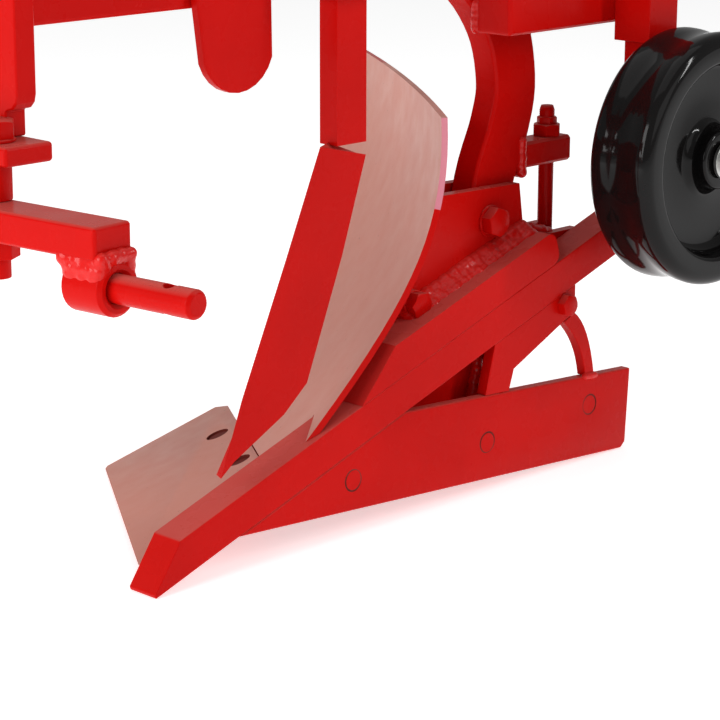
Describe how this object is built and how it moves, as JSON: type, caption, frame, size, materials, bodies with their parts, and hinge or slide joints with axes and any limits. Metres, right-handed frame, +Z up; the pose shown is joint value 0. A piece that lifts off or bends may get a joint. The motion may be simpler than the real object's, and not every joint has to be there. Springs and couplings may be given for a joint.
{
  "type": "moldboard plough",
  "caption": "Mounted single-furrow plough: bar point, share and moldboard on a bent beam, with a knife coulter, headstock, hitch crossbar and gauge wheel.",
  "frame": {"origin": "on the ground, under the middle of the plough's box", "axes": "+X is the direction of travel, +Y is the land side on the left, +Z is up"},
  "size_m": [1.0626, 0.833, 0.8427],
  "materials": {
    "red_paint": "gloss",
    "dusty_red_paint": "satin",
    "black_paint": "gloss",
    "steel": "zinc plated"
  },
  "bodies": {
    "plough": {"bar_point": "red_paint", "bar_saddle": "red_paint", "beam": "red_paint", "beam_eye_plate": "red_paint", "coulter": "red_paint", "coulter_set_screw": "red_paint", "coulter_socket": "red_paint", "crossbar": "red_paint", "crossbar_nut_left": "red_paint", "crossbar_nut_right": "red_paint", "crossbar_spacer_left": "red_paint", "crossbar_spacer_right": "red_paint", "frog_base": "red_paint", "frog_foot": "red_paint", "frog_plate_left": "red_paint", "frog_plate_right": "red_paint", "guide_rail": "red_paint", "headstock_plate": "red_paint", "hitch_boss_left": "red_paint", "hitch_boss_right": "red_paint", "hitch_pin_left": "red_paint", "hitch_pin_right": "red_paint", "landside": "red_paint", "landside_brace": "red_paint", "leg_lug": "red_paint", "lug_plate_left": "red_paint", "lug_plate_right": "red_paint", "mast_left": "red_paint", "mast_right": "red_paint", "mast_strut": "red_paint", "moldboard": "dusty_red_paint", "moldboard_stay": "red_paint", "pitch_nut": "red_paint", "pitch_rod": "red_paint", "rod_seat": "red_paint", "share": "dusty_red_paint", "share_seat": "red_paint", "stem_set_screw": "red_paint", "stem_socket": "red_paint", "top_link_pin": "steel", "wheel_bracket": "red_paint"},
    "wheel_post": {"wheel_stem": "red_paint", "wheel_axle": "steel"},
    "gauge_wheel": {"gauge_wheel": "black_paint"}
  },
  "joints": [
    {"name": "wheel_height", "type": "slide", "parent": "plough", "child": "wheel_post", "axis": [0, 0, 1], "range_m": [-0.14, 0.04]},
    {"name": "wheel_spin", "type": "hinge", "parent": "wheel_post", "child": "gauge_wheel", "pos_m": [-0.40684, 0.2035, 0.3216], "axis": [0, 1, 0], "continuous": true}
  ]
}
